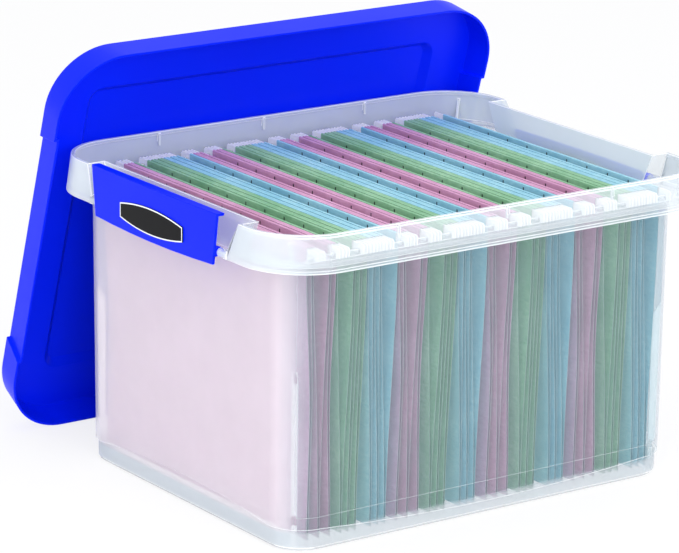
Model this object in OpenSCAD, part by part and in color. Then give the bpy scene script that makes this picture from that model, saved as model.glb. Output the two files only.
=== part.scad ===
// Portable file box: a clear tub with a wide rim, two swing latches, a lift-off
// lid that leans against the back rim, and twelve colour groups of hanging folders.
// +X runs along the tub, the front long side faces -Y, and the origin is the
// centre of the tub's underside.

/* [Tub] */
// Length of the tub's outer wall where it meets the rim
tub_l = 391.5; // [386:0.5:397]
// Width of the tub's outer wall where it meets the rim
tub_w = 315; // [311:0.5:320]
// Height of the rim's top edge above the table
tub_h = 264; // [250:1:290]
// Outer radius of the tub's upright corners
tub_r = 33; // [30:0.5:34]
// How far each wall leans out between the table and the rim
draft = 2.2; // [1:0.1:3]
// Thickness of the moulded tub walls
wall = 2.2; // [1.8:0.1:2.6]
// Thickness of the tub's floor
floor_t = 2.6; // [2:0.1:5]
// Slanted edge round the underside
foot_edge = 2.5; // [1:0.1:4]
// Height of the step line at the corners
step_z = 18; // [14:0.5:20]
// Set-back of the foot below the step line
step_in = 2.2; // [1:0.1:2.6]
// Rise of the step line on the short sides, and its dip on the long sides
step_bow = 7; // [3:0.5:8]
// Height of the upright posts moulded into the corners
post_h = 142; // [80:1:170]
// How far the corner posts stand into the tub
post_in = 5.5; // [3:0.1:6]
// Thickness of the corner posts
post_t = 4; // [2.5:0.1:5]

/* [Rim] */
// How far the rim's top edge stands out past the tub's wall at each end
rim_out_l = 18.75; // [17.5:0.25:19.5]
// How far the rim's top edge stands out past the tub's wall at each side
rim_out_w = 17.75; // [16.5:0.25:18.5]
// Outer radius of the rim's corners at the top edge
rim_r = 53; // [48:0.5:56]
// Height of the band that hangs round the rim
rim_band = 30.5; // [28:0.5:34]
// How far the band flares out from its top edge to its bottom edge
rim_flare = 4; // [3:0.1:4.2]
// Width of the thickened top lip
lip_t = 3.4; // [3:0.1:4]
// Height of the thickened top lip
lip_h = 3; // [2:0.1:4]
// Depth from the rim's top edge down to the shelf inside it
shelf_drop = 26; // [25:0.5:27]
// Height of the folder rails above the shelf
rail_h = 5; // [4:0.1:6]
// Free length of shelf at each end of a folder rail
rail_end = 14.75; // [12.75:0.25:17.75]
// Number of short ribs under the lip on each long side
lip_ribs = 3; // [2:1:6]
// Spacing of the short ribs
lip_rib_gap = 106; // [60:1:110]

/* [Latch bays] */
// How far the outer face of a bay wall stands out past the tub's wall
bay_out = 2.55; // [2.25:0.05:3.25]
// Width of a bay at the band's bottom edge
bay_low_w = 193; // [190:1:200]
// Width of a bay at the rim's top edge
bay_top_w = 222; // [210:1:230]

/* [Latches] */
// Width of a latch at its hinge pins
latch_w = 176; // [168:0.5:177]
// Height of a latch from its lowest edge to its top
latch_h = 44.4; // [42:0.1:47]
// Height of the latch that lies below the hinge pins
latch_low = 12.1; // [10:0.1:12.8]
// How far each side of the latch leans out towards its top, in degrees
latch_lean = 7.5; // [0:0.5:9]
// Rise of the latch's lower edge from its middle to its ends
latch_sag = 2.3; // [1:0.1:4]
// Thickness of the latch plate and its hook
latch_t = 2.4; // [2:0.1:2.8]
// Bulge of the latch plate between its ends
latch_bulge = 1.2; // [0.6:0.1:2.4]
// Distance from the pin axis out to the plate's outer face at its ends
latch_out = 6.6; // [6.5:0.1:6.8]
// Reach of the hook inward from the pin axis
hook_in = 1; // [0.5:0.1:6]
// Width of the knuckles that carry the hinge pins
knuckle_w = 6; // [4:0.5:10]
// Diameter of the moulded hinge pins
pin_d = 3.7; // [3:0.1:4]
// Length of each hinge pin
pin_len = 7.5; // [5:0.5:9]
// Radial clearance of a hinge pin in its ear
pin_gap = 0.05; // [0.02:0.01:0.09]
// Height of the pin axis above the band's bottom edge
pin_rise = 3; // [2:0.5:4]
// How far each pin axis stands out past the rim's top edge
pin_out = 1; // [0.5:0.25:1.5]
// Outer diameter of the ears that hold the pins
ear_d = 7.8; // [7.4:0.1:8]
// Side gap between a latch and its ears
ear_gap = 0.5; // [0.3:0.1:1]
// How far the right-hand latch hangs open
latch_open = 155.4; // [150:0.1:176]

/* [Badge] */
// Width of the blank badge
badge_w = 92; // [70:1:110]
// Height of the blank badge at its ends
badge_end_h = 12; // [9:0.1:13]
// Height of the blank badge at its middle
badge_mid_h = 22; // [16:0.1:22]
// Thickness of the badge
badge_t = 1; // [0.6:0.1:1.4]
// Height of the badge's middle above the pin axis
badge_rise = 5; // [3:0.5:6]

/* [Lid] */
// How far the lid's open edge stands out past the rim's top edge
lid_over = 6.2; // [5.8:0.1:7.5]
// Outer radius of the lid's corners at the open edge
lid_r = 57; // [52:0.5:60]
// Depth of the lid from its open edge to its top face
lid_h = 27; // [24:0.5:32]
// How far the skirt draws in from the open edge to the top face
lid_flare = 3.4; // [2:0.1:4]
// Thickness of the moulded lid
lid_t = 2.2; // [1.8:0.1:2.6]
// Margin between the lid's edge and its raised panel
panel_margin = 42; // [36:1:50]
// Height of the raised panel
panel_h = 6; // [3:0.5:8]
// Corner radius of the raised panel
panel_r = 16; // [12:1:24]
// Width of a latch notch at the lid's top face
notch_top_w = 196; // [190:1:204]
// Width of a latch notch at the lid's open edge
notch_low_w = 214; // [206:1:220]
// Depth of the latch notches
notch_in = 3; // [2:0.1:3.6]
// Lean of the lid against the back rim, in degrees
lid_lean = 17; // [12:0.5:22]
// Sideways place of the lid
lid_x = -5; // [-10:0.5:10]
// Gap between the leaning lid and the rim's top edge
lid_gap = 0.3; // [0.2:0.1:1]

/* [Folders] */
// Free length of the tub at each end of the row of folders
row_end = 19.35; // [17.25:0.05:24]
// Free gap between neighbouring groups
group_gap = 0.4; // [0.3:0.1:0.8]
// Gap between the tub's wall line and a card's side edge
card_side = 9; // [8:0.25:12.5]
// Thickness of the folder card
card_t = 0.5; // [0.5:0.05:0.7]
// Height of a folder's fold above the table
card_foot_z = 8.5; // [8.5:0.5:40]
// Depth of the card flap that wraps over a rod
flap_h = 8.6; // [7:0.1:12]
// Thickness of the steel rods
rod_t = 1; // [1:0.05:1.3]
// Height of a rod above its seat on the rail
rod_rise = 4.2; // [3:0.1:6]
// Depth of a rod below its seat on the rail
rod_drop = 4; // [2.5:0.1:4.2]
// Gap between a rod and its seat on the rail
seat_gap = 0.2; // [0.1:0.1:0.4]
// Width of the notch that sits over the rail
hook_notch = 4.4; // [3.6:0.1:5]
// Width of the hook's tip beyond the rail
hook_tip = 4.6; // [3:0.1:6]
// Mouth of a closed folder between its two hems
narrow_mouth = 1.2; // [0.6:0.05:1.3]
// Free gap between neighbouring folders of a group
folder_gap = 0.8; // [0.4:0.05:0.9]
// Inside width at the bottom fold
fold_gap = 1.2; // [0.8:0.1:2]
// Spacing of the three bottom folds of a green or blue group
fold_spread = 7; // [5:0.1:8]
// Spacing of the three bottom folds of a pink group
pink_spread = 10.5; // [5:0.1:11]
// Share by which a pink group draws in halfway down
pink_waist = 0.24; // [0:0.01:0.3]
// Sideways swing of the bottom folds
fold_swing = 1.8; // [0:0.1:2]
// Spacing of the tab slots in an open folder
slot_pitch = 27.5; // [22:0.5:32]
// Width of a tab slot
slot_w = 1.6; // [1:0.1:2.5]
// Height of a tab slot
slot_h = 3.4; // [2:0.1:4]
// Depth of a tab slot below the card's top edge
slot_drop = 2.6; // [2:0.1:3]

/* [Hidden] */
PINK_CARDS = ["pink_folders_1", "pink_folders_2", "pink_folders_3", "pink_folders_4"];
GREEN_CARDS = ["green_folders_1", "green_folders_2", "green_folders_3", "green_folders_4"];
BLUE_CARDS = ["blue_folders_1", "blue_folders_2", "blue_folders_3", "blue_folders_4"];
PINK_RODS = ["pink_rods_1", "pink_rods_2", "pink_rods_3", "pink_rods_4"];
GREEN_RODS = ["green_rods_1", "green_rods_2", "green_rods_3", "green_rods_4"];
BLUE_RODS = ["blue_rods_1", "blue_rods_2", "blue_rods_3", "blue_rods_4"];
// The groups stand in the order pink, green, blue, four times over.
CARDS = [for (set = [0:3]) each [PINK_CARDS[set], GREEN_CARDS[set], BLUE_CARDS[set]]];
RODS = [for (set = [0:3]) each [PINK_RODS[set], GREEN_RODS[set], BLUE_RODS[set]]];

TUB_CLEAR = "lavender";
LID_BLUE = "#0a2cff";
BADGE_BLACK = "#15161a";
ROD_WHITE = "#eef0f2";
CARD_COLOURS = ["#c896b4", "#6ea078", "#6ebed7"];

groups = len(CARDS);
folders_in_group = 3;
curve_steps = 8;
smooth = 96;
past = 1;

rim_l = tub_l + 2 * rim_out_l;
rim_w = tub_w + 2 * rim_out_w;
rail_l = tub_l - 2 * rail_end;
bay_l = tub_l + 2 * bay_out;
lid_l = rim_l + 2 * lid_over;
lid_w = rim_w + 2 * lid_over;
shelf_z = tub_h - shelf_drop;
rail_z = shelf_z + rail_h;
rim_low_z = tub_h - rim_band;
pin_z = rim_low_z + pin_rise;
pin_x = rim_l / 2 + pin_out;
foot_l = tub_l - 2 * draft;
foot_w = tub_w - 2 * draft;
foot_r = tub_r - draft;
// The foot stops just above the highest point of the step line.
foot_h = step_z + step_bow + wall;
tub_slope = draft / shelf_z;
rim_slope = rim_flare / rim_band;

// Rounded box whose sides and corners lean out by grow over its height.
module lean_box(l, w, r, h, grow) {
    x = l / 2 - r;
    y = w / 2 - r;
    intersection() {
        rotate([90, 0, 90])
            linear_extrude(2 * l, center = true)
                polygon([[-w / 2, 0], [w / 2, 0], [w / 2 + grow, h], [-w / 2 - grow, h]]);
        rotate([90, 0, 0])
            linear_extrude(2 * w, center = true)
                polygon([[-l / 2, 0], [l / 2, 0], [l / 2 + grow, h], [-l / 2 - grow, h]]);
        union() {
            for (sx = [-1, 1], sy = [-1, 1])
                translate([sx * x, sy * y, 0])
                    cylinder(h = h, r1 = r, r2 = r + grow, $fn = smooth);
            translate([-l, -y, 0])
                cube([2 * l, 2 * y, h]);
            translate([-x, -w, 0])
                cube([2 * x, 2 * w, h]);
        }
    }
}

// The tub's tapering wall outline, drawn in by inset, between two heights.
module tub_slice(inset, z_low, z_high) {
    out = tub_slope * z_low - inset;
    translate([0, 0, z_low])
        lean_box(foot_l + 2 * out, foot_w + 2 * out, foot_r + out,
                 z_high - z_low, tub_slope * (z_high - z_low));
}

// The rim band's outline, drawn in by inset, between two heights.
module rim_slice(inset, z_low, z_high) {
    out = rim_slope * (tub_h - z_low) - inset;
    translate([0, 0, z_low])
        lean_box(rim_l + 2 * out, rim_w + 2 * out, rim_r + out,
                 z_high - z_low, -rim_slope * (z_high - z_low));
}

// Region above the step line, which dips along the long sides and rises along
// the short ones, as two wide arcs of equal bow.
module above_step_line() {
    arc_l = tub_l / 2 - tub_r - past;
    arc_w = tub_w / 2 - tub_r - past;
    dip_r = (arc_l * arc_l + step_bow * step_bow) / (2 * step_bow);
    rise_r = (arc_w * arc_w + step_bow * step_bow) / (2 * step_bow);
    for (side = [-1, 1])
        translate([0, side * (arc_w + tub_r), 0])
            rotate([90, 0, 0])
                linear_extrude(2 * tub_r, center = true) {
                    translate([-tub_l / 2 - past, step_z])
                        square([tub_l + 2 * past, tub_h]);
                    intersection() {
                        translate([0, step_z - step_bow + dip_r])
                            circle(dip_r, $fn = 400);
                        translate([-arc_l, 0])
                            square([2 * arc_l, step_z + past]);
                    }
                }
    rotate([90, 0, 90])
        linear_extrude(tub_l + 2 * past, center = true)
            difference() {
                translate([-arc_w, step_z])
                    square([2 * arc_w, tub_h]);
                translate([0, step_z + step_bow - rise_r])
                    circle(rise_r, $fn = 400);
            }
}

// Room for a latch at each end of the rim, grown by extra on its wall faces.
module latch_bays(extra) {
    side_slope = (bay_top_w - bay_low_w) / 2 / rim_band;
    low = bay_low_w / 2 - side_slope * rim_band + extra;
    high = bay_top_w / 2 + side_slope * rim_band + extra;
    for (end = [0, 1])
        mirror([end, 0, 0])
            translate([bay_l / 2 - extra, 0, rim_low_z - rim_band])
                rotate([90, 0, 90])
                    linear_extrude(rim_l)
                        polygon([[-low, 0], [low, 0], [high, 3 * rim_band], [-high, 3 * rim_band]]);
}

// Posts moulded into the four corners, with slanted tops.
module corner_posts() {
    post_r = foot_r + draft;
    core_r = foot_r - wall - post_in;
    for (sx = [-1, 1], sy = [-1, 1])
        translate([sx * (foot_l / 2 - foot_r), sy * (foot_w / 2 - foot_r), 0])
            rotate([90, 0, atan2(sy, sx)])
                linear_extrude(post_t, center = true)
                    polygon([[core_r, floor_t / 2], [post_r, floor_t / 2],
                             [post_r, post_h + 2 * post_in], [core_r, post_h - post_in]]);
}

// Gussets that tie the shelf to the band in the rim's corners.
module rim_gussets() {
    gusset_reach = 13;
    gusset_h = shelf_drop - lip_h - wall;
    gusset_out = rim_r - wall / 2;
    gusset_in = rim_r - gusset_reach;
    for (sx = [-1, 1], sy = [-1, 1])
        translate([sx * (rim_l / 2 - rim_r), sy * (rim_w / 2 - rim_r), shelf_z - wall / 2])
            rotate([90, 0, atan2(sy, sx)])
                linear_extrude(wall, center = true)
                    polygon([[gusset_in, 0], [gusset_out, 0],
                             [gusset_out, gusset_h], [gusset_in, wall]]);
}

// Short ribs that stiffen the lip along the long sides.
module lip_stiffeners() {
    rib_w = 1.8;
    rib_h = 9;
    for (side = [0, 1], i = [0:lip_ribs - 1])
        mirror([0, side, 0])
            translate([(i - (lip_ribs - 1) / 2) * lip_rib_gap - rib_w / 2,
                       rim_w / 2 - lip_t - wall / 4, tub_h - lip_h - rib_h])
                cube([rib_w, lip_t - wall / 4, rib_h + lip_h / 2]);
}

// Ears at both ends of each bay, which carry a latch's hinge pins.
module ears() {
    ear_in = latch_w / 2 + ear_gap;
    ear_out = bay_low_w / 2 + 2 * wall;
    for (end = [-1, 1], side = [-1, 1])
        translate([end * pin_x, side * (ear_in + ear_out) / 2, pin_z])
            rotate([90, 0, 0])
                cylinder(h = ear_out - ear_in, d = ear_d, center = true, $fn = smooth);
}

// Bores for the hinge pins, through the ears from the bay side.
module pin_bores() {
    bore_end = latch_w / 2 + pin_len + ear_gap;
    for (end = [-1, 1], side = [-1, 1])
        translate([end * pin_x, side * (latch_w / 2 + bore_end) / 2, pin_z])
            rotate([90, 0, 0])
                cylinder(h = bore_end - latch_w / 2, d = pin_d + 2 * pin_gap, center = true, $fn = smooth);
}

module tub_outer() {
    edge_low = foot_edge + step_in;
    lean_box(foot_l - 2 * edge_low, foot_w - 2 * edge_low, foot_r - edge_low, foot_edge, foot_edge);
    tub_slice(step_in, foot_edge, foot_h);
    intersection() {
        tub_slice(0, step_z - step_bow - past, shelf_z);
        above_step_line();
    }
    difference() {
        rim_slice(0, rim_low_z, tub_h);
        latch_bays(0);
        // Open groove under the shelf, behind the band
        difference() {
            rim_slice(wall, rim_low_z - past, shelf_z - wall);
            latch_bays(2 * wall);
        }
    }
}

module tub() {
    color(TUB_CLEAR, 0.5)
        difference() {
            union() {
                difference() {
                    tub_outer();
                    // Room inside the foot, inside the walls and inside the rim
                    tub_slice(step_in + wall, floor_t, foot_h + past);
                    tub_slice(wall, foot_h, shelf_z + past);
                    difference() {
                        rim_slice(wall, shelf_z, tub_h - lip_h);
                        latch_bays(wall);
                    }
                    difference() {
                        rim_slice(lip_t, tub_h - lip_h - past, tub_h + past);
                        latch_bays(wall);
                    }
                }
                intersection() {
                    corner_posts();
                    tub_outer();
                }
                rim_gussets();
                lip_stiffeners();
                ears();
                for (side = [0, 1])
                    mirror([0, side, 0])
                        translate([-rail_l / 2, tub_w / 2 - wall, shelf_z - wall])
                            cube([rail_l, wall, rail_h + wall]);
            }
            pin_bores();
        }
}

// The lid's outer form, or with inset its inner form, with the open edge at z = 0.
module lid_form(inset, z_low, z_high) {
    slope = lid_flare / lid_h;
    out = -slope * z_low - inset;
    notch_low = notch_low_w / 2 + inset;
    notch_top = notch_top_w / 2 + inset;
    notch_slope = notch_low - notch_top;
    notch_x = lid_l / 2 - notch_in - inset;
    difference() {
        translate([0, 0, z_low])
            lean_box(lid_l + 2 * out, lid_w + 2 * out, lid_r + out,
                     z_high - z_low, -slope * (z_high - z_low));
        for (end = [0, 1])
            mirror([end, 0, 0])
                intersection() {
                    translate([lid_l / 2 - lid_r, 0, -lid_h])
                        rotate([90, 0, 90])
                            linear_extrude(lid_l)
                                polygon([[-notch_low - notch_slope, 0],
                                         [notch_low + notch_slope, 0],
                                         [notch_top - notch_slope, 3 * lid_h],
                                         [-notch_top + notch_slope, 3 * lid_h]]);
                    translate([0, 0, -lid_h])
                        rotate([90, 0, 0])
                            linear_extrude(lid_w, center = true)
                                polygon([[notch_x + lid_flare, 0], [lid_l, 0],
                                         [lid_l, 3 * lid_h], [notch_x - 2 * lid_flare, 3 * lid_h]]);
                }
    }
}

// The lid the way up that it sits on the tub, its open edge at z = 0.
module lid_level() {
    panel_l = lid_l - 2 * panel_margin;
    panel_w = lid_w - 2 * panel_margin;
    difference() {
        union() {
            lid_form(0, 0, lid_h);
            translate([0, 0, lid_h - lid_t / 2])
                lean_box(panel_l, panel_w, panel_r, panel_h + lid_t / 2, -panel_h - lid_t / 2);
        }
        lid_form(lid_t, -past, lid_h - lid_t);
        translate([0, 0, lid_h - lid_t - past])
            lean_box(panel_l - 2 * lid_t + 2 * past, panel_w - 2 * lid_t + 2 * past,
                     panel_r - lid_t + past, panel_h + past, -panel_h - past);
    }
}

// The lid stands on its long open edge and leans on the back of the rim, whose
// top edge reaches a little way into the lid until it meets the lid's inside.
module lid() {
    stand_z = lid_w / 2 * cos(lid_lean);
    panel_edge = lid_l / 2 - panel_margin - lid_t - abs(lid_x);
    rim_corner = max(0, panel_edge - (rim_l / 2 - rim_r));
    round_off = rim_r - sqrt(rim_r * rim_r - rim_corner * rim_corner);
    depth = lid_h - lid_t - lid_gap + round_off * cos(lid_lean);
    stand_y = rim_w / 2 - (depth - (tub_h - stand_z) * sin(lid_lean)) / cos(lid_lean);
    color(LID_BLUE)
        translate([lid_x, stand_y, stand_z])
            rotate([lid_lean - 90, 0, 0])
                lid_level();
}

// Plan of a strip that follows the latch plate's bulge, from one face to another,
// both measured outward from the plate's outer face.
module bulged_strip(inner, outer) {
    half = latch_w / 2;
    bend = (half * half + latch_bulge * latch_bulge) / (2 * latch_bulge);
    centre = bend - latch_out - latch_bulge;
    intersection() {
        difference() {
            translate([centre, 0])
                circle(bend + outer, $fn = 720);
            translate([centre, 0])
                circle(bend + inner, $fn = 720);
        }
        translate([-3 * latch_out, -latch_w])
            square([6 * latch_out, 2 * latch_w]);
    }
}

// Front view of the latch plate: wider at the top, with a bowed lower edge.
module latch_face() {
    half = latch_w / 2;
    side_slope = tan(latch_lean);
    high = latch_h - latch_low + past;
    low = latch_low + past;
    sag_r = (half * half + latch_sag * latch_sag) / (2 * latch_sag);
    intersection() {
        polygon([[-half + side_slope * low, -low], [half - side_slope * low, -low],
                 [half + side_slope * high, high], [-half - side_slope * high, high]]);
        translate([0, sag_r - latch_low])
            circle(sag_r, $fn = 720);
    }
}

// A closed latch about its own pin axis, its outer face towards -X.
module latch() {
    top = latch_h - latch_low;
    half = latch_w / 2;
    rib_t = 1.6;
    knuckle_d = ear_d - 0.4;
    knuckle_half = knuckle_d / 2 - 0.4;
    plate_in = latch_t / 2 - latch_out;
    intersection() {
        union() {
            translate([0, 0, -latch_low - past])
                linear_extrude(latch_h + past)
                    bulged_strip(-latch_t, 0);
            // Hook along the top, which reaches over the lid's edge
            translate([0, 0, top - latch_t])
                linear_extrude(latch_t)
                    intersection() {
                        bulged_strip(-latch_out - latch_bulge - 2 * hook_in, 0);
                        translate([-3 * latch_out, -latch_w])
                            square([3 * latch_out + hook_in, 2 * latch_w]);
                    }
        }
        rotate([90, 0, 90])
            linear_extrude(6 * latch_out, center = true)
                latch_face();
    }
    // Stiffening ribs behind the plate
    for (y = [-half / 2, 0, half / 2])
        translate([0, y, 0])
            rotate([90, 0, 0])
                linear_extrude(rib_t, center = true)
                    polygon([[plate_in, -latch_low + latch_sag], [plate_in + latch_t, -latch_low + latch_sag],
                             [0, -pin_d], [0, top - latch_t / 2], [plate_in, top - latch_t / 2]]);
    // Knuckles and hinge pins
    for (side = [-1, 1]) {
        translate([0, side * (half - knuckle_w / 2), 0])
            rotate([90, 0, 0])
                linear_extrude(knuckle_w, center = true)
                    polygon([[plate_in, -knuckle_half], [0, -knuckle_half],
                             [0, knuckle_half], [plate_in, knuckle_half]]);
        translate([0, side * (half - knuckle_w / 2), 0])
            rotate([90, 0, 0])
                cylinder(h = knuckle_w, d = knuckle_d, center = true, $fn = smooth);
        translate([0, side * (half + (pin_len - knuckle_w / 2) / 2), 0])
            rotate([90, 0, 0])
                cylinder(h = pin_len + knuckle_w / 2, d = pin_d, center = true, $fn = smooth);
    }
}

// Blank lozenge with bowed long edges, curved to lie on the latch plate.
module badge() {
    half = badge_w / 2;
    bow = (badge_mid_h - badge_end_h) / 2;
    bow_r = (half * half + bow * bow) / (2 * bow);
    intersection() {
        translate([0, 0, badge_rise - badge_mid_h])
            linear_extrude(2 * badge_mid_h)
                bulged_strip(0, badge_t);
        translate([0, 0, badge_rise])
            rotate([90, 0, -90])
                linear_extrude(4 * latch_out)
                    intersection() {
                        square([badge_w, badge_mid_h], center = true);
                        translate([0, badge_mid_h / 2 - bow_r])
                            circle(bow_r, $fn = 360);
                        translate([0, bow_r - badge_mid_h / 2])
                            circle(bow_r, $fn = 360);
                    }
    }
}

// The left latch is shut, and the right one hangs open outside the tub.
module at_left() translate([-pin_x, 0, pin_z]) children();
module at_right()
    translate([pin_x, 0, pin_z])
        rotate([0, latch_open, 0])
            mirror([1, 0, 0])
                children();

module left_latch() color(LID_BLUE) at_left() latch();
module right_latch() color(LID_BLUE) at_right() latch();
module left_badge() color(BADGE_BLACK) at_left() badge();
module right_badge() color(BADGE_BLACK) at_right() badge();

// Folders. Positions in a group are measured along the rails from its low edge.
hem_play = 0.1;
hem_t = 2 * (card_t + hem_play) + rod_t;
card_w = tub_w - 2 * card_side;
group_pitch = (tub_l - 2 * row_end) / groups;
group_w = group_pitch - group_gap;
wide_mouth = group_w - 2 * folders_in_group * hem_t
             - (folders_in_group - 1) * (narrow_mouth + folder_gap);
seat_z = rail_z + seat_gap;
rod_top = seat_z + rod_rise;
card_top = rod_top + hem_play + card_t;

// Which folder of a group stands open: the choice runs through all three.
function open_one(g) = (g * 2 + 1) % folders_in_group;
function mouth(g, f) = f == open_one(g) ? wide_mouth : narrow_mouth;
function folder_start(g, f) =
    f == 0 ? 0 : folder_start(g, f - 1) + 2 * hem_t + mouth(g, f - 1) + folder_gap;
function spread(g) = g % 3 == 0 ? pink_spread : fold_spread;
function waist(g) = g % 3 == 0 ? pink_waist : 0;
// Middle of a folder's bottom fold. The folds swing a little from group to group.
function fold_middle(g, f) =
    group_w / 2 + (f - 1) * spread(g) + fold_swing * sin(g * 360 / groups + 180);
function ease(u) = (1 - cos(180 * u)) / 2;
// Draws a point of a group in towards the group's middle, most of all halfway down.
function drawn_in(g, x, u) = x + (group_w / 2 - x) * waist(g) * pow(sin(180 * u), 2);
// One face of a card, from under its hem to its fold, in curve_steps stretches.
function card_line(g, top_x, low_x, top_z, low_z) =
    [for (i = [0:curve_steps])
        let (u = i / curve_steps)
        [drawn_in(g, top_x + (low_x - top_x) * ease(u), u), top_z + (low_z - top_z) * u]];
function reversed(points) = [for (i = [len(points) - 1:-1:0]) points[i]];

// Section through one folder: a V of card whose two tops wrap over their rods.
module folder_section(g, f) {
    a = folder_start(g, f);
    b = a + 2 * hem_t + mouth(g, f);
    m = fold_middle(g, f);
    flap_z = card_top - flap_h;
    out = fold_gap / 2 + card_t;
    in = fold_gap / 2;
    polygon(concat(
        [[a + hem_t - card_t, flap_z], [a + hem_t, flap_z], [a + hem_t, card_top], [a, card_top]],
        card_line(g, a, m - out, flap_z, card_foot_z + card_t),
        [[m - in, card_foot_z], [m + in, card_foot_z]],
        reversed(card_line(g, b, m + out, flap_z, card_foot_z + card_t)),
        [[b, card_top], [b - hem_t, card_top], [b - hem_t, flap_z], [b - hem_t + card_t, flap_z],
         [b - hem_t + card_t, card_top - card_t], [b - card_t, card_top - card_t]],
        card_line(g, b - card_t, m + in, flap_z, card_foot_z + 2 * card_t),
        reversed(card_line(g, a + card_t, m - in, flap_z, card_foot_z + 2 * card_t)),
        [[a + card_t, card_top - card_t], [a + hem_t - card_t, card_top - card_t]]));
}

function group_x(g) = (g - groups / 2) * group_pitch + group_gap / 2;

// Three folders of one colour. The open one has a row of tab slots in its far hem.
module cards(g) {
    slots = floor((card_w / 2 - slot_pitch / 2) / slot_pitch);
    open = open_one(g);
    slot_x = folder_start(g, open) + hem_t + mouth(g, open) - folder_gap / 2;
    slot_z = card_top - slot_drop - slot_h;
    color(CARD_COLOURS[g % 3])
        translate([group_x(g), 0, 0])
            difference() {
                for (f = [0:folders_in_group - 1])
                    rotate([90, 0, 0])
                        linear_extrude(card_w, center = true)
                            folder_section(g, f);
                for (i = [-slots:slots])
                    translate([slot_x, i * slot_pitch - slot_w / 2, slot_z])
                        cube([hem_t + folder_gap, slot_w, slot_h]);
            }
}

// Steel rod with a hooked end over each rail, standing in a card's hem.
module rod() {
    notch_in_y = tub_w / 2 - wall / 2 - hook_notch / 2;
    notch_out_y = notch_in_y + hook_notch;
    end_y = notch_out_y + hook_tip;
    low = seat_z - rod_drop;
    half = [[notch_in_y, low], [notch_in_y, seat_z], [notch_out_y, seat_z], [notch_out_y, low],
            [end_y - 1, low], [end_y, low + 1], [end_y, rod_top - 1.5], [end_y - 1.5, rod_top]];
    rotate([90, 0, 90])
        linear_extrude(rod_t)
            polygon(concat(half, reversed([for (p = half) [-p[0], p[1]]])));
}

module rods(g) {
    color(ROD_WHITE)
        for (f = [0:folders_in_group - 1], far = [0, 1])
            translate([group_x(g) + folder_start(g, f) + far * (hem_t + mouth(g, f)) + (hem_t - rod_t) / 2, 0, 0])
                rod();
}

tub();
lid();
left_latch();
right_latch();
left_badge();
right_badge();
for (g = [0:groups - 1]) {
    cards(g);
    rods(g);
}
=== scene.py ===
# %% [markdown]
# # A file box with hanging folders
# The object is a clear plastic tub with a blue lid leaning behind it, a blue swing
# latch in each short end and twelve groups of coloured hanging folders.
# The engineering model gives every piece at its real size and place. This script
# dresses it: it rounds the edges that a mould rounds, shapes the card as card
# hangs, and gives every surface the look of its material.

import math

import bmesh
import bpy
from mathutils import Matrix, Vector


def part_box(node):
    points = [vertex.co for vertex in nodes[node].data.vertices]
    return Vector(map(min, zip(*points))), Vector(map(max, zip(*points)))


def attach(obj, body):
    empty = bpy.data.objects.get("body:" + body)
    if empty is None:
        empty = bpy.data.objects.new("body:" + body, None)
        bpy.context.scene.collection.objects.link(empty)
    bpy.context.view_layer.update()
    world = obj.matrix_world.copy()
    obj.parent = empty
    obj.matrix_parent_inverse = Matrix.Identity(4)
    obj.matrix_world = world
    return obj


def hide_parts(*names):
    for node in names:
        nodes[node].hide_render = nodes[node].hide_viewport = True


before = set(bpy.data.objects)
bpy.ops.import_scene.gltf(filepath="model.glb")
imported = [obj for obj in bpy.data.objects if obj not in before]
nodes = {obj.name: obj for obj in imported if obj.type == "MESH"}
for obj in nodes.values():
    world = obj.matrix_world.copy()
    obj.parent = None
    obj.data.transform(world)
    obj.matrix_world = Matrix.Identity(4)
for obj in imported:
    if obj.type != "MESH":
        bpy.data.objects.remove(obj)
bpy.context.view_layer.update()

# %% [markdown]
# ## Camera
# The photograph was taken with a long lens from the front left, a little above
# the tub. The place, heading and tilt below were found by fitting a pinhole
# camera to the tub's edges, so lines in the render fall where they do in the
# photograph. A camera in Blender looks along its own -Z, with +Y up.

# %% Camera
IMAGE_W, IMAGE_H = 679, 553
FOCAL_PX = 3998
CENTRE_PX = (382.4, 269.2)
EYE = (-1.8651, -2.5920, 1.0741)
heading = math.radians(35.79)
tilt = math.radians(15.83)
roll = math.radians(0.94)

forward = Vector((math.sin(heading) * math.cos(tilt),
                  math.cos(heading) * math.cos(tilt),
                  -math.sin(tilt)))
level_right = Vector((math.cos(heading), -math.sin(heading), 0))
level_up = level_right.cross(forward)
right = math.cos(roll) * level_right + math.sin(roll) * level_up
up = right.cross(forward)

lens = bpy.data.cameras.new("camera")
lens.sensor_width = 36
lens.lens = FOCAL_PX / IMAGE_W * lens.sensor_width
lens.shift_x = (IMAGE_W / 2 - CENTRE_PX[0]) / IMAGE_W
lens.shift_y = (CENTRE_PX[1] - IMAGE_H / 2) / IMAGE_W
lens.clip_end = 50
camera = bpy.data.objects.new("camera", lens)
turned = Matrix((right, up, -forward)).transposed().to_4x4()
camera.matrix_world = Matrix.Translation(EYE) @ turned
bpy.context.scene.collection.objects.link(camera)
bpy.context.scene.camera = camera
print("lens", round(lens.lens, 1), "mm")

# %% [markdown]
# ## Light and floor
# A catalogue photograph is lit by big soft boxes all round, so a bright even
# world does most of the work, and large area lamps give the plastic its broad
# highlights. The floor is white to the camera but still takes a shadow: part of
# its brightness is diffuse, and part is added only for camera rays.

# %% Colours and nodes
def colour(text):
    """Linear colour from an sRGB hex value."""
    channels = [int(text[i:i + 2], 16) / 255 for i in (1, 3, 5)]
    return [c / 12.92 if c <= 0.04045 else ((c + 0.055) / 1.055) ** 2.4 for c in channels] + [1.0]


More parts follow.
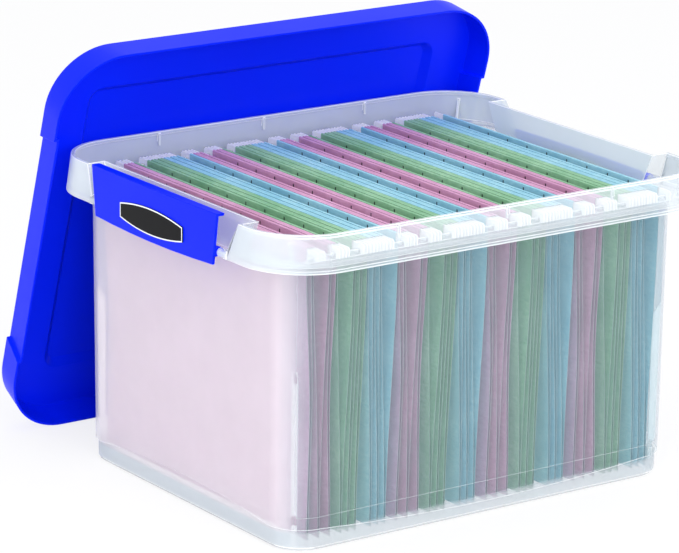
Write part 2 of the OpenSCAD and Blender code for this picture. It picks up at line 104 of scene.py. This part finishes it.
def add(tree, kind, settings=None, links=None):
    """A shader node of that kind, with its settings and incoming links."""
    node = tree.nodes.new("ShaderNode" + kind)
    for name, value in (settings or {}).items():
        if isinstance(name, int) or name in node.inputs:
            node.inputs[name].default_value = value
        else:
            setattr(node, name, value)
    for name, source in (links or {}).items():
        tree.links.new(source, node.inputs[name])
    return node


def new_material(name):
    """An empty node material, its tree, its output node and object coordinates."""
    material = bpy.data.materials.new(name)
    material.use_nodes = True
    tree = material.node_tree
    tree.nodes.clear()
    print("material:", name)
    return material, tree, add(tree, "OutputMaterial"), add(tree, "TexCoord")


# %% World
world = bpy.data.worlds.new("studio")
bpy.context.scene.world = world
world.use_nodes = True
sky = world.node_tree
sky.nodes.clear()
soft_light = add(sky, "Background", {"Color": colour("#F8F9FB"), "Strength": 0.92})
white_back = add(sky, "Background", {"Color": colour("#FFFFFF"), "Strength": 1.0})
rays = add(sky, "LightPath")
camera_or_glass = add(sky, "Math", {"operation": "MAXIMUM"},
                      {0: rays.outputs["Is Camera Ray"], 1: rays.outputs["Is Transmission Ray"]})
pick = add(sky, "MixShader", links={0: camera_or_glass.outputs[0],
                                    1: soft_light.outputs[0], 2: white_back.outputs[0]})
add(sky, "OutputWorld", links={"Surface": pick.outputs[0]})
bpy.context.scene.view_settings.view_transform = "Standard"
print("world:", world.name)

# %% Lamps
LAMPS_AIM = Vector((0, 0, 0.15))


def area_lamp(name, place, size, power, mirrored=True):
    """A large square lamp that faces the middle of the tub, and shows in gloss or not."""
    lamp = bpy.data.lights.new(name, "AREA")
    lamp.size = size
    lamp.energy = power
    holder = bpy.data.objects.new(name, lamp)
    holder.location = place
    holder.rotation_euler = (LAMPS_AIM - Vector(place)).to_track_quat("-Z", "Y").to_euler()
    holder.visible_glossy = mirrored
    bpy.context.scene.collection.objects.link(holder)
    print(name, power, "W,", size, "m wide")


area_lamp("key_lamp", (-0.6, -1.2, 2.2), 1.6, 20)
area_lamp("left_lamp", (-2.4, 0.2, 1.2), 1.5, 7, mirrored=False)
area_lamp("front_lamp", (-1.0, -2.8, 0.8), 2.0, 28, mirrored=False)
area_lamp("right_lamp", (1.8, -1.4, 1.0), 1.5, 8)

# %% Floor
FLOOR_HALF = 6
FLOOR_GLOW = 0.8
floor_mesh = bmesh.new()
bmesh.ops.create_grid(floor_mesh, x_segments=1, y_segments=1, size=FLOOR_HALF)
floor_data = bpy.data.meshes.new("floor")
floor_mesh.to_mesh(floor_data)
floor_mesh.free()
floor = bpy.data.objects.new("floor", floor_data)
bpy.context.scene.collection.objects.link(floor)

paper, tree, out, place = new_material("white_studio_paper")
matt = add(tree, "BsdfDiffuse", {"Color": colour("#F7F7F9")})
glow = add(tree, "Emission", {"Color": colour("#FFFFFF"), "Strength": 1.0})
rays = add(tree, "LightPath")
share = add(tree, "Math", {"operation": "MULTIPLY", 1: FLOOR_GLOW},
            {0: rays.outputs["Is Camera Ray"]})
both = add(tree, "MixShader", links={0: share.outputs[0], 1: matt.outputs[0], 2: glow.outputs[0]})
tree.links.new(both.outputs[0], out.inputs["Surface"])
floor_data.materials.append(paper)

# %% [markdown]
# ## Clear polypropylene
# The tub is injection moulded from natural polypropylene, which is clear but faintly milky, like
# thin ice. In the photograph its end walls, foot and rim look milkier than its long walls, and the
# back of the rim milkier than the front, so the haze is set by place and by the way a face looks.
# The extra white of the end walls and of the back of the rim is partly painted light: the ends are
# whitened as if lit from the left, and the back of the rim as if more light fell on it.
# Real glass shading would be slow and would bend the folder edges, which the
# thin wall doesn't do. So the plastic is see-through by alpha: each face hides a
# share of what is behind it, and that share is the haze.

# %% Haze of the clear plastic
MM = 0.001
RIM_STARTS, RIM_FULL = 231 * MM, 236 * MM
FOOT_FULL, FOOT_ENDS = 14 * MM, 17 * MM
REAR_STARTS, REAR_FULL = 90 * MM, 150 * MM
# The back of the rim gets more haze than the front: painted light, as if more light fell on the
# back.
FRONT_RIM_HAZE, REAR_RIM_HAZE_AND_LIGHT = 0.15, 0.34
# The extra haze of the end walls is partly painted light from the lamp on the left.
FOOT_HAZE, END_HAZE_AND_LIGHT, CORNER_HAZE, SHELF_HAZE = 0.2, 0.3, 0.05, -0.1
LEAST_HAZE, CLOUDED_HAZE = 0.12, 0.14

clear_pp, tree, out, place = new_material("clear_polypropylene")
spot = add(tree, "SeparateXYZ", links={0: place.outputs["Object"]})
facing = add(tree, "SeparateXYZ", links={0: place.outputs["Normal"]})


def ramp(source, start, end, low, high):
    """A value that runs from low to high while source runs from start to end."""
    settings = {"From Min": start, "From Max": end, "To Min": low, "To Max": high}
    return add(tree, "MapRange", settings, {"Value": source}).outputs[0]


def total(*sources):
    """The sum of some values."""
    result = sources[0]
    for source in sources[1:]:
        result = add(tree, "Math", {"operation": "ADD"}, {0: result, 1: source}).outputs[0]
    return result


def size_of(source):
    """The value without its sign."""
    return add(tree, "Math", {"operation": "ABSOLUTE"}, {0: source}).outputs[0]


# The rim band starts 231 mm above the table. The foot ends at 18 mm, and its haze
# a little lower, so that none runs up the wall.
in_rim = ramp(spot.outputs["Z"], RIM_STARTS, RIM_FULL, 0.0, 1.0)
in_foot = ramp(spot.outputs["Z"], FOOT_FULL, FOOT_ENDS, 1.0, 0.0)
# A face is an end where its normal nears X, and level where its normal nears Z.
in_end = ramp(size_of(facing.outputs["X"]), 0.45, 0.95, 0.0, 1.0)
level = ramp(size_of(facing.outputs["Z"]), 0.8, 0.95, 0.0, 1.0)
# X times Y of the normal is nought on a straight wall and most in a round corner.
across = add(tree, "Math", {"operation": "MULTIPLY"},
             {0: facing.outputs["X"], 1: facing.outputs["Y"]})
corner_haze = ramp(size_of(across.outputs[0]), 0.1, 0.45, 0.0, CORNER_HAZE)
# Haze that rises towards the back of the rim: partly painted light.
rim_haze_and_light = add(tree, "Math", {"operation": "MULTIPLY"},
               {0: in_rim, 1: ramp(spot.outputs["Y"], REAR_STARTS, REAR_FULL,
                                   FRONT_RIM_HAZE, REAR_RIM_HAZE_AND_LIGHT)})
# The level faces in the rim, its shelf above all, look clearer in the photograph.
shelf = add(tree, "Math", {"operation": "MULTIPLY"}, {0: in_rim, 1: level})
shelf_haze = ramp(shelf.outputs[0], 0.0, 1.0, 0.0, SHELF_HAZE)
# Moulded plastic is never even: clouds about 30 mm wide change the haze a little.
clouds = add(tree, "TexNoise", {"Scale": 34.0, "Detail": 2.0}, {"Vector": place.outputs["Object"]})
cloud_haze = ramp(clouds.outputs["Fac"], 0.3, 0.7, LEAST_HAZE, CLOUDED_HAZE)
haze = total(rim_haze_and_light.outputs[0], ramp(in_foot, 0.0, 1.0, 0.0, FOOT_HAZE),
             ramp(in_end, 0.0, 1.0, 0.0, END_HAZE_AND_LIGHT), corner_haze, shelf_haze, cloud_haze)

# %% Surface of the clear plastic
# The frosting is taken to be a spark-eroded grain about 0.5 mm wide. It is drawn
# 1 mm wide to show.
BUMP_DEPTH = 0.2 * MM
grain = add(tree, "TexNoise", {"Scale": 1000.0, "Detail": 2.0}, {"Vector": place.outputs["Object"]})
bump = add(tree, "Bump", {"Strength": 0.05, "Distance": BUMP_DEPTH},
           {"Height": grain.outputs["Fac"]})
# In the photograph the long walls look cool, the ends nearly white and the foot grey.
# The near-white tint of the ends is partly painted light from the left.
wall_tint_and_end_light = add(tree, "MixRGB", {1: colour("#B6D2D9"), 2: colour("#F8F3F9")}, {0: in_end})
foot_tint = add(tree, "MixRGB", {2: colour("#D3DCE2")}, {0: in_foot, 1: wall_tint_and_end_light.outputs[0]})
tint = add(tree, "MixRGB", {2: colour("#E3EBF0")}, {0: in_rim, 1: foot_tint.outputs[0]})
shader = add(tree, "BsdfPrincipled", {"IOR": 1.49, "Specular IOR Level": 0.35},
             {"Base Color": tint.outputs[0], "Roughness": ramp(haze, 0.1, 0.5, 0.16, 0.38),
              "Alpha": haze, "Normal": bump.outputs[0]})
tree.links.new(shader.outputs[0], out.inputs["Surface"])
print("nodes in the clear plastic:", len(tree.nodes))

# %% [markdown]
# Along a rounded edge the light runs through the plastic to the eye, so every edge of a clear
# moulding shows as a white line. That line is a painted highlight: the rounds get a nearly opaque
# white finish, and so do the corner posts, which are seen edge on.

# %% Edges of the clear plastic
STEP_LOW, STEP_HIGH = (19.6 * MM, 20.2 * MM), (27 * MM, 28 * MM)
EDGE_LIGHT_ALPHA, STEP_EDGE_LIGHT_ALPHA = 0.8, 0.15
painted_edge_light, tree, out, place = new_material("clear_polypropylene_painted_edge_light")
grain = add(tree, "TexNoise", {"Scale": 1000.0, "Detail": 2.0}, {"Vector": place.outputs["Object"]})
bump = add(tree, "Bump", {"Strength": 0.05, "Distance": BUMP_DEPTH},
           {"Height": grain.outputs["Fac"]})
# The photograph shows one bright line above the foot, the outer edge of the step.
# The step's inner edges lie 20 to 27 mm up, and their painted white highlight is kept faint.
spot = add(tree, "SeparateXYZ", links={0: place.outputs["Object"]})
above = ramp(spot.outputs["Z"], *STEP_LOW, 0.0, 1.0)
below = ramp(spot.outputs["Z"], *STEP_HIGH, 1.0, 0.0)
inner_step = add(tree, "Math", {"operation": "MULTIPLY"}, {0: above, 1: below})
edge_light_alpha = ramp(inner_step.outputs[0], 0.0, 1.0, EDGE_LIGHT_ALPHA, STEP_EDGE_LIGHT_ALPHA)
# A nearly opaque white on every round: a painted highlight.
shader = add(tree, "BsdfPrincipled",
             {"Base Color": colour("#FDFEFF"), "Roughness": 0.25, "IOR": 1.49},
             {"Alpha": edge_light_alpha, "Normal": bump.outputs[0]})
tree.links.new(shader.outputs[0], out.inputs["Surface"])

# %% [markdown]
# ## Blue polypropylene
# The lid and latches are the same plastic, coloured through with a strong blue.
# Their faces have a fine satin grain, so highlights are soft and wide, and the
# colour stays deep. Faint flow marks, about 110 mm across, change the gloss
# slowly. The grain is finer than a pixel, and is drawn 1.1 mm wide to show.

# %% Blue polypropylene
blue_pp, tree, out, place = new_material("blue_polypropylene")
grain = add(tree, "TexNoise", {"Scale": 900.0, "Detail": 2.0}, {"Vector": place.outputs["Object"]})
bump = add(tree, "Bump", {"Strength": 0.06, "Distance": BUMP_DEPTH},
           {"Height": grain.outputs["Fac"]})
flow = add(tree, "TexNoise", {"Scale": 9.0, "Detail": 3.0, "Distortion": 0.8},
           {"Vector": place.outputs["Object"]})
gloss = add(tree, "MapRange", {"To Min": 0.3, "To Max": 0.42}, {"Value": flow.outputs["Fac"]})
tone = add(tree, "MixRGB", {1: colour("#0226FF"), 2: colour("#0220F8")}, {0: flow.outputs["Fac"]})
shader = add(tree, "BsdfPrincipled", {"IOR": 1.49, "Specular IOR Level": 0.1},
             {"Base Color": tone.outputs[0], "Roughness": gloss.outputs[0],
              "Normal": bump.outputs[0]})
tree.links.new(shader.outputs[0], out.inputs["Surface"])

# %% [markdown]
# ## Badge film
# The badge is a printed plastic film: a black field with a white line round it.
# Film is smoother than the moulding under it. The glue below gives it a faint
# ripple about 4 mm across.

# %% Badge film
def film(name, ink):
    """Printed film in one colour of ink, a little rippled."""
    material, tree, out, place = new_material(name)
    ripple = add(tree, "TexNoise", {"Scale": 260.0, "Detail": 1.0},
                 {"Vector": place.outputs["Object"]})
    bump = add(tree, "Bump", {"Strength": 0.05, "Distance": BUMP_DEPTH},
               {"Height": ripple.outputs["Fac"]})
    shader = add(tree, "BsdfPrincipled",
                 {"Base Color": colour(ink), "Roughness": 0.35, "Specular IOR Level": 0.1},
                 {"Normal": bump.outputs[0]})
    tree.links.new(shader.outputs[0], out.inputs["Surface"])
    return material


black_film = film("black_polyester_film", "#060608")
white_ink = film("white_screen_ink", "#F4F6F8")

# %% [markdown]
# ## Steel rods
# Each folder hangs from two flat spring-steel rods. The strip inside the hem is
# bare blued steel, and the hooked ends that slide on the rails are coated in
# white, which is taken to be nylon powder. One material does both: the distance
# from the tub's middle line decides which it is. The marks of rolling and the
# grains of powder are too fine to show, and are drawn 1.4 mm wide.

# %% Steel rods
DIPPED_FROM = 147 * MM
rod_finish, tree, out, place = new_material("nylon_dipped_spring_steel")
spot = add(tree, "SeparateXYZ", links={0: place.outputs["Object"]})
from_middle = add(tree, "Math", {"operation": "ABSOLUTE"}, {0: spot.outputs["Y"]})
dipped = add(tree, "Math", {"operation": "GREATER_THAN", 1: DIPPED_FROM},
             {0: from_middle.outputs[0]})
marks = add(tree, "TexNoise", {"Scale": 700.0, "Detail": 2.0}, {"Vector": place.outputs["Object"]})
steel_gloss = add(tree, "MapRange", {"To Min": 0.28, "To Max": 0.45},
                  {"Value": marks.outputs["Fac"]})
steel = add(tree, "BsdfPrincipled", {"Base Color": colour("#565B66"), "Metallic": 1.0},
            {"Roughness": steel_gloss.outputs[0]})
powder_bump = add(tree, "Bump", {"Strength": 0.15, "Distance": BUMP_DEPTH},
                  {"Height": marks.outputs["Fac"]})
powder = add(tree, "BsdfPrincipled",
             {"Base Color": colour("#FFFFFF"), "Roughness": 0.42, "IOR": 1.53},
             {"Normal": powder_bump.outputs[0]})
both = add(tree, "MixShader",
           links={0: dipped.outputs[0], 1: steel.outputs[0], 2: powder.outputs[0]})
tree.links.new(both.outputs[0], out.inputs["Surface"])

# %% [markdown]
# ## Folder card
# Hanging folders are cut from dyed manila card. The dye goes through the card,
# and its fibres leave paler and darker flecks and a soft tooth. The flecks are
# drawn 2.4 mm wide and 8 mm long, coarser than real ones, so that they show. The
# noise is stretched along the tub's width, the way the card ran through the mill.

# %% Folder card
CUT_FROM = 148.3 * MM
CUT_SHARE = 0.4
HOLLOW = 5 * MM


def card_material(name, dye, pale, hollow_shade):
    """Dyed card: flecked faces, a pale cut edge at each side, and painted shade in the hollows."""
    material, tree, out, place = new_material(name)
    along = add(tree, "Mapping", {"Scale": (1.0, 0.3, 1.0)}, {"Vector": place.outputs["Object"]})
    fibres = add(tree, "TexNoise", {"Scale": 420.0, "Detail": 5.0, "Roughness": 0.65},
                 {"Vector": along.outputs[0]})
    clouds = add(tree, "TexNoise", {"Scale": 22.0, "Detail": 2.0},
                 {"Vector": place.outputs["Object"]})
    blend = add(tree, "Math", {"operation": "MULTIPLY"},
                {0: fibres.outputs["Fac"], 1: clouds.outputs["Fac"]})
    flecks = add(tree, "MapRange", {"From Min": 0.12, "From Max": 0.4}, {"Value": blend.outputs[0]})
    tone = add(tree, "MixRGB", {1: colour(dye), 2: colour(pale)}, {0: flecks.outputs[0]})
    # Between the hems, 5 mm and less apart, the card is painted darker towards its third colour:
    # painted shade where the hems hide the light.
    open_air = add(tree, "AmbientOcclusion", {"samples": 6, "Distance": HOLLOW})
    shade = add(tree, "MapRange", {"From Min": 0.1, "From Max": 0.6},
                {"Value": open_air.outputs["AO"]})
    painted_hollow_shade = add(tree, "MixRGB", {1: colour(hollow_shade)}, {0: shade.outputs[0], 2: tone.outputs[0]})
    # A cut side edge shows the undyed core: it lies 148.3 mm or more off the middle.
    spot = add(tree, "SeparateXYZ", links={0: place.outputs["Object"]})
    from_middle = add(tree, "Math", {"operation": "ABSOLUTE"}, {0: spot.outputs["Y"]})
    cut = add(tree, "Math", {"operation": "GREATER_THAN", 1: CUT_FROM},
              {0: from_middle.outputs[0]})
    core = add(tree, "Math", {"operation": "MULTIPLY", 1: CUT_SHARE}, {0: cut.outputs[0]})
    paint = add(tree, "MixRGB", {2: colour("#F0F4F6")}, {0: core.outputs[0], 1: painted_hollow_shade.outputs[0]})
    bump = add(tree, "Bump", {"Strength": 0.25, "Distance": BUMP_DEPTH},
               {"Height": fibres.outputs["Fac"]})
    shader = add(tree, "BsdfPrincipled", {"Roughness": 0.72, "Specular IOR Level": 0.3},
                 {"Base Color": paint.outputs[0], "Normal": bump.outputs[0]})
    tree.links.new(shader.outputs[0], out.inputs["Surface"])
    return material


# The third colour of each card is the painted shade in its hollows.
card_finish = {
    "pink": card_material("dyed_manila_card_pink", "#C691B2", "#DCABCB", "#7A5270"),
    "green": card_material("dyed_manila_card_green", "#7BB088", "#A0CBA8", "#3E6E4B"),
    "blue": card_material("dyed_manila_card_blue", "#84C0D4", "#A9D8E4", "#40809A"),
}

# %% [markdown]
# ## Rounded mouldings
# A mould never leaves a knife edge: every corner of the tub, lid and latches is
# rounded by about half a millimetre, and that round is what catches the light as
# a bright line. The engineering solids have sharp edges, so each one is copied,
# its loose triangles are merged back into whole faces, and a Bevel modifier
# rounds every edge that turns by more than 30 degrees. A Weighted Normal
# modifier keeps the wide faces flat beside the rounds.

# %% Rounded copies
FLAT_WITHIN = math.radians(0.6)
SHARP_FROM = math.radians(30)


def merged_copy(node_name, weld=0.002 * MM):
    """A bmesh of a CAD node with its triangles merged into whole faces."""
    mesh = bmesh.new()
    mesh.from_mesh(nodes[node_name].data)
    bmesh.ops.remove_doubles(mesh, verts=mesh.verts, dist=weld)
    bmesh.ops.dissolve_limit(mesh, angle_limit=FLAT_WITHIN, verts=mesh.verts, edges=mesh.edges,
                             use_dissolve_boundaries=False)
    return mesh


def finish_piece(mesh, name, materials, body, replaced, modifiers=()):
    """Turn a bmesh into a piece that rides on a body and replaces CAD nodes."""
    data = bpy.data.meshes.new(name)
    mesh.to_mesh(data)
    mesh.free()
    for material in materials:
        data.materials.append(material)
    data.shade_smooth()
    piece = bpy.data.objects.new(name, data)
    bpy.context.scene.collection.objects.link(piece)
    for kind, settings in modifiers:
        modifier = piece.modifiers.new(kind.lower(), kind)
        for key, value in settings.items():
            setattr(modifier, key, value)
    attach(piece, body)
    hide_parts(*replaced)


def rounding(width, finish):
    """Modifiers that round the sharp edges, in material number finish, and keep faces flat. On the
    tub that material is the painted white highlight.
    """
    return [("BEVEL", {"width": width, "segments": 2, "limit_method": "ANGLE", "material": finish,
                       "angle_limit": SHARP_FROM, "use_clamp_overlap": False}),
            ("WEIGHTED_NORMAL", {"keep_sharp": True})]


# %% [markdown]
# In each corner of the tub a thin plate stands on the diagonal and props the wall. It is part of
# the moulding, so it isn't modelled again: its faces are found by where they lie and which way they
# look, and they take the painted white highlight of the edges, because in the photograph such a
# plate shows as a white bar.

# %% Corner posts of the tub
TUB_L, TUB_W, WALL_CORNER = 391.5 * MM, 315 * MM, 33 * MM
POST_CORE = 23.5 * MM
POST_BELOW = 200 * MM


def mark_posts(mesh):
    """Give the diagonal plates in the tub's corners the painted white highlight of the edges."""
    marked = 0
    for face in mesh.faces:
        centre = face.calc_center_median()
        side = math.copysign(1, centre.x * centre.y)
        from_axis = Vector((abs(centre.x) - TUB_L / 2 + WALL_CORNER,
                            abs(centre.y) - TUB_W / 2 + WALL_CORNER))
        in_corner = min(from_axis) > 0 and centre.z < POST_BELOW
        # A plate's side looks across the diagonal, and its free edge is upright.
        plate = side * face.normal.x * face.normal.y < -0.4
        inner_edge = from_axis.length < POST_CORE + 2 * MM and abs(face.normal.z) < 0.3
        if in_corner and (plate or inner_edge):
            face.material_index = 1
            marked += 1
    return marked


# %% Tub, lid and latches
# Edges of about 0.02 mm, left where curved faces meet, would spoil the rounding.
SLIVER = 0.06 * MM
mouldings = [
    ("tub", "clear_tub", [clear_pp, painted_edge_light], "clear_plastic", 0.5 * MM),
    ("lid", "blue_lid", [blue_pp], "blue_plastic", 0.6 * MM),
    ("left_latch", "left_swing_latch", [blue_pp], "latch_plastic", 0.6 * MM),
    ("right_latch", "right_swing_latch", [blue_pp], "latch_plastic", 0.6 * MM),
]
for node_name, name, finishes, slot, width in mouldings:
    mesh = merged_copy(node_name, weld=SLIVER)
    print(name, "faces after merging:", len(mesh.faces))
    if node_name == "tub":
        print("corner post faces:", mark_posts(mesh))
    finish_piece(mesh, name, finishes, node_name, [node_name],
                 rounding(width, len(finishes) - 1))

# %% [markdown]
# ## Badge
# The badge's outer face is inset by the width of its printed white line. The
# ring that the inset leaves takes the white ink and the rest stays black. The
# left latch is shut and its badge faces away from the tub. The right latch hangs
# open, so its badge is turned towards the end wall. Both face the tub's left.

# %% Badge
LINE_W = 1.1 * MM
for side in ("left", "right"):
    mesh = merged_copy(side + "_badge")
    field = [face for face in mesh.faces if face.normal.x < -0.7]
    ring = bmesh.ops.inset_region(mesh, faces=field, thickness=LINE_W, use_even_offset=True,
                                  use_boundary=True)
    for face in ring["faces"]:
        face.material_index = 1
    print(side, "badge field faces:", len(field), "ring faces:", len(ring["faces"]))
    finish_piece(mesh, side + "_printed_badge", [black_film, white_ink], side + "_latch",
                 [side + "_badge"])

# %% [markdown]
# ## Hanging folders
# A folder is one sheet of card: a hem folded over a rod, a long face down to the
# fold, and up again to the second hem. Its section is drawn once as a line of
# points, from one hem to the other, and swept along Y, which is how the card
# itself is made: every line across it is straight. A Solidify modifier gives the
# line the card's thickness. A hem is folded a little towards the folder's own
# mouth, so the two hems of a shut folder nearly touch, and a dark line shows only
# between one folder and the next. A group is three folders of one colour, and one
# of the three stands open and shows its row of tab slots.

# %% Hem of a folder
CARD_T = 0.3 * MM
HEM_OUT, HEM_IN, HEM_CROWN = 0.82 * MM, 1.55 * MM, 0.5 * MM
HEM_STEPS = 8
FLAP_LIP = 3.0 * MM


def hem(x, top, flap_z, side):
    """Points of a hem round the rod at x, from the free end of its flap over to its face."""
    half = (HEM_OUT + HEM_IN - CARD_T) / 2
    middle = x - side * (HEM_IN - HEM_OUT) / 2
    rise = top - CARD_T / 2 - HEM_CROWN
    points = [(middle - side * half, flap_z), (middle - side * half, flap_z + FLAP_LIP)]
    for i in range(HEM_STEPS + 1):
        turn = math.pi * i / HEM_STEPS
        points.append((middle - side * half * math.cos(turn), rise + HEM_CROWN * math.sin(turn)))
    return points


print("hem width:", round((HEM_OUT + HEM_IN) / MM, 2), "mm")

# %% Section of a folder
HEM_ROOM, FLAP_H, FOLD_GAP = 2.2 * MM, 8.6 * MM, 1.2 * MM
CARD_STEPS, FOLD_STEPS = 20, 6


def face_line(x_top, z_top, x_low, z_low, group_x, waist):
    """Points down one face of a hanging card, a gentle S drawn in at the group's waist."""
    points = []
    for i in range(CARD_STEPS + 1):
        u = i / CARD_STEPS
        x = x_top + (x_low - x_top) * (1 - math.cos(math.pi * u)) / 2
        x += (group_x - x) * waist * math.sin(math.pi * u) ** 2
        points.append((x, z_top + (z_low - z_top) * u))
    return points


def folder_section(low_x, high_x, middle, top, foot, group_x, waist):
    """The whole section of one folder, as (x, z) points from hem to hem."""
    flap_z = top - FLAP_H
    face_out = HEM_OUT - CARD_T / 2
    left_x, right_x = low_x + HEM_ROOM / 2, high_x - HEM_ROOM / 2
    fold_r = (FOLD_GAP + CARD_T) / 2
    fold_z = foot + fold_r
    down = face_line(left_x - face_out, flap_z, middle - fold_r, fold_z, group_x, waist)
    fold = []
    for i in range(1, FOLD_STEPS):
        turn = math.pi * i / FOLD_STEPS
        fold.append((middle - fold_r * math.cos(turn), fold_z - fold_r * math.sin(turn)))
    back_up = face_line(right_x + face_out, flap_z, middle + fold_r, fold_z, group_x, waist)[::-1]
    left_hem = hem(left_x, top, flap_z, -1)
    right_hem = hem(right_x, top, flap_z, 1)[::-1]
    return left_hem + down + fold + back_up + right_hem


# %% Sweep a section into a card
SLOT_PITCH, SLOT_W, SLOT_H, SLOT_DROP = 27.5 * MM, 1.6 * MM, 3.4 * MM, 2.6 * MM


def sweep_card(section, stations):
    """A bmesh sheet: the section as a chain of edges, extruded along Y."""
    mesh = bmesh.new()
    row = [mesh.verts.new((x, stations[0], z)) for x, z in section]
    edges = [mesh.edges.new(pair) for pair in zip(row, row[1:])]
    for low, high in zip(stations, stations[1:]):
        swept = bmesh.ops.extrude_edge_only(mesh, edges=edges)["geom"]
        moved = {v for v in swept if isinstance(v, bmesh.types.BMVert)}
        bmesh.ops.translate(mesh, verts=list(moved), vec=(0, high - low, 0))
        edges = [e for e in swept if isinstance(e, bmesh.types.BMEdge) and set(e.verts) <= moved]
    return mesh


def cut_slots(mesh, hem_x, slot_ys, z_low, z_high):
    """Remove the faces of both layers of a hem inside each tab slot."""
    for z in (z_low, z_high):
        near = [f for f in mesh.faces if abs(f.calc_center_median().x - hem_x) < HEM_IN]
        geom = near + list(dict.fromkeys(e for f in near for e in f.edges))
        geom += list(dict.fromkeys(v for f in near for v in f.verts))
        bmesh.ops.bisect_plane(mesh, geom=geom, plane_co=(0, 0, z), plane_no=(0, 0, 1))
    inside = []
    for f in mesh.faces:
        centre = f.calc_center_median()
        if abs(centre.x - hem_x) < HEM_IN and z_low < centre.z < z_high:
            if any(abs(centre.y - y) < SLOT_W / 2 for y in slot_ys):
                inside.append(f)
    bmesh.ops.delete(mesh, geom=inside, context="FACES")
    return len(inside)


# %% [markdown]
# The thirty-six folders stand in twelve groups. Each group spreads towards its
# folds, the pink ones most, and the pink ones are drawn in at half height, as they
# are in the photograph. The folds also swing a little from side to side, one wave
# in twelve groups, because no card hangs quite plumb. Which of the three folders
# stands open changes from group to group.

# %% Make the thirty-six folders
HUES = ["pink", "green", "blue"]
FOLD_SPREAD = {"pink": 10.5 * MM, "green": 7.0 * MM, "blue": 7.0 * MM}
WAIST = {"pink": 0.24, "green": 0.0, "blue": 0.0}
FOLD_SWING = 1.8 * MM
NARROW, FOLDER_GAP = 1.2 * MM, 0.8 * MM
card_look = [("SOLIDIFY", {"thickness": CARD_T, "offset": 0.0, "use_rim": True,
                           "use_even_offset": True}),
             ("WEIGHTED_NORMAL", {"keep_sharp": True})]
card_lengths, slot_faces = [], 0
for group in range(12):
    hue, number = HUES[group % 3], group // 3 + 1
    node_name = "%s_folders_%d" % (hue, number)
    low, high = (Vector(c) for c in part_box(node_name))
    open_one = (group * 2 + 1) % 3
    wide = (high.x - low.x) - 6 * HEM_ROOM - 2 * (NARROW + FOLDER_GAP)
    group_x = (low.x + high.x) / 2
    swing = FOLD_SWING * math.sin(math.radians(group * 30 + 180))
    start = low.x
    for folder in range(3):
        mouth = wide if folder == open_one else NARROW
        end = start + 2 * HEM_ROOM + mouth
        middle = group_x + (folder - 1) * FOLD_SPREAD[hue] + swing
        section = folder_section(start, end, middle, high.z, low.z, group_x, WAIST[hue])
        card_lengths.append(sum(math.dist(a, b) for a, b in zip(section, section[1:])))
        slot_ys = [i * SLOT_PITCH for i in range(-4, 5)] if folder == open_one else []
        slot_sides = [y + s * SLOT_W / 2 for y in slot_ys for s in (-1, 1)]
        mesh = sweep_card(section, sorted([low.y, high.y] + slot_sides))
        if slot_ys:
            z_high = high.z - SLOT_DROP
            slot_faces += cut_slots(mesh, end - HEM_ROOM / 2, slot_ys, z_high - SLOT_H, z_high)
        bmesh.ops.recalc_face_normals(mesh, faces=mesh.faces)
        finish_piece(mesh, "%s_folder_%d_%d" % (hue, number, folder + 1), [card_finish[hue]],
                     "%s_group_%d" % (hue, number), [node_name], card_look)
        start = end + FOLDER_GAP
print("folders made:", len(card_lengths), "faces cut for slots:", slot_faces)
print("cards are", round(min(card_lengths) / MM), "to", round(max(card_lengths) / MM), "mm long")

# %% [markdown]
# ## Rods
# The rods keep their engineering shape: strip with square-punched hooks. Only
# their finish changes.

# %% Rods
for hue in HUES:
    for number in range(1, 5):
        data = nodes["%s_rods_%d" % (hue, number)].data
        data.materials.clear()
        data.materials.append(rod_finish)
print("rod nodes finished:", len(HUES) * 4)
